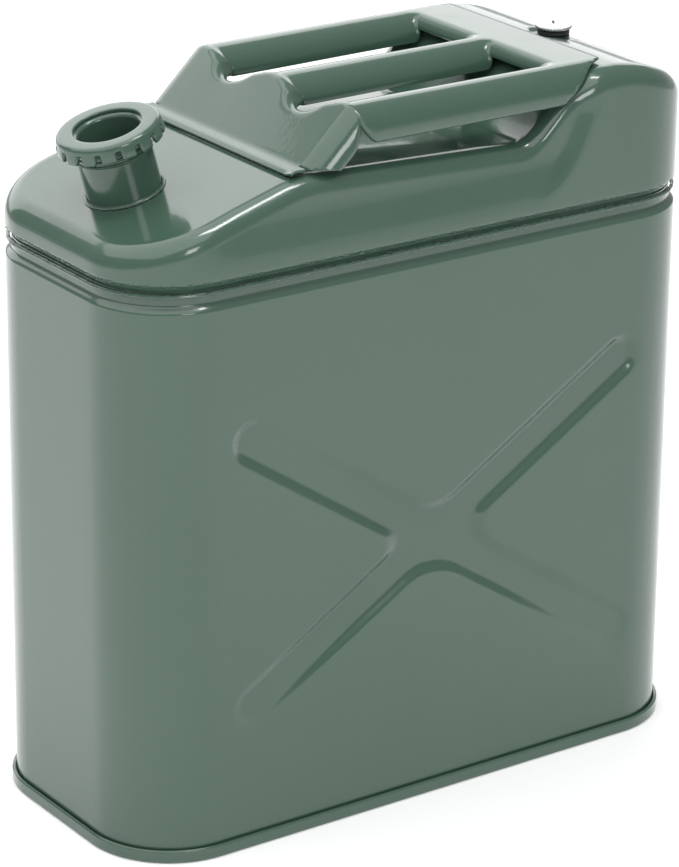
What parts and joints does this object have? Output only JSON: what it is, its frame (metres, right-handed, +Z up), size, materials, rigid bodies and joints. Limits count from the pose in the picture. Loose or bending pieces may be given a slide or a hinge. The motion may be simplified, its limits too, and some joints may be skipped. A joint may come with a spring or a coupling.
{
  "type": "jerry can",
  "caption": "Welded sheet-steel fuel can with a pressed cross on each side, a channel-section carrying handle, a tilted filler with a notched ring cap, and an air vent screw.",
  "frame": {"origin": "centre of the footprint on the floor", "axes": "+X from the filler end to the vent end, +Y across the can, +Z up"},
  "size_m": [0.3448, 0.1568, 0.365],
  "materials": {
    "green_paint": "glossy enamel with light orange peel",
    "cup_lining": "dark satin enamel",
    "dark_metal": "dark phosphated steel",
    "zinc_plate": "bright zinc plate",
    "seal_rubber": "matt black nitrile"
  },
  "bodies": {
    "can": {"base_pan": "green_paint", "body_shell": "green_paint", "wrapper_weld": "green_paint", "belt_weld": "green_paint", "top_shell": "green_paint", "carrying_handle": "green_paint", "neck_collar": "green_paint", "filler_neck": "green_paint", "vent_boss": "dark_metal"},
    "closure": {"closure_cup": "cup_lining", "closure_gasket": "seal_rubber"},
    "cap": {"ring_cap": "green_paint"},
    "vent_seal": {"vent_washer": "seal_rubber"},
    "vent_turner": {"vent_screw": "zinc_plate"}
  },
  "joints": [
    {"name": "closure_lift", "type": "slide", "parent": "can", "child": "closure", "axis": [-0.2672, 0, 0.9636], "range_m": [0, 0.06]},
    {"name": "cap_turn", "type": "hinge", "parent": "closure", "child": "cap", "pos_m": [-0.1293, 0, 0.3212], "axis": [-0.2672, 0, 0.9636], "continuous": true},
    {"name": "vent_lift", "type": "slide", "parent": "can", "child": "vent_seal", "axis": [0, 0, 1], "range_m": [0, 0.012]},
    {"name": "vent_turn", "type": "hinge", "parent": "vent_seal", "child": "vent_turner", "pos_m": [0.1265, 0, 0.3584], "axis": [0, 0, 1], "continuous": true}
  ]
}
